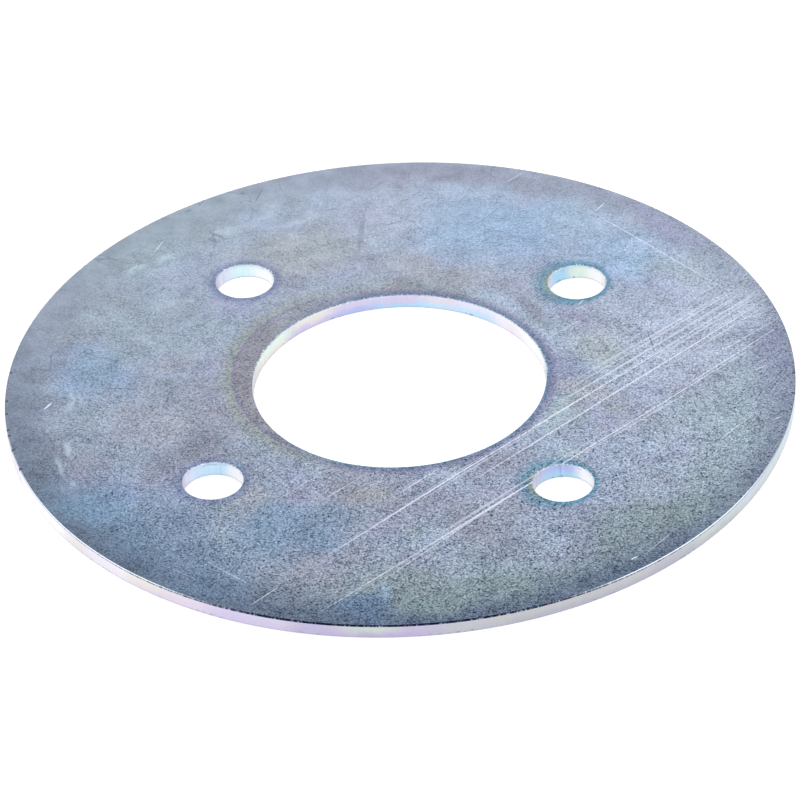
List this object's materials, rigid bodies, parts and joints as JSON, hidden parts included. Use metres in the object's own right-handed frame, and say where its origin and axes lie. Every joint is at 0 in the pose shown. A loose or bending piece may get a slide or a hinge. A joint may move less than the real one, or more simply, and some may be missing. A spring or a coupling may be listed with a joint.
{
  "type": "mounting plate",
  "caption": "Round flat mounting plate of zinc-plated sheet steel, with a large central bore and a ring of bolt holes, for fixing a spindle or hub to a garden machine",
  "frame": {"origin": "centre of the bore, on the lower face", "axes": "+Z is the plate's axis, out of the upper face; +X and +Y each lie midway between two neighbouring bolt holes"},
  "size_m": [0.16, 0.16, 0.003],
  "materials": {
    "zinc_plated_steel": "satin"
  },
  "bodies": {
    "root": {"mounting_plate": "zinc_plated_steel"}
  },
  "joints": []
}
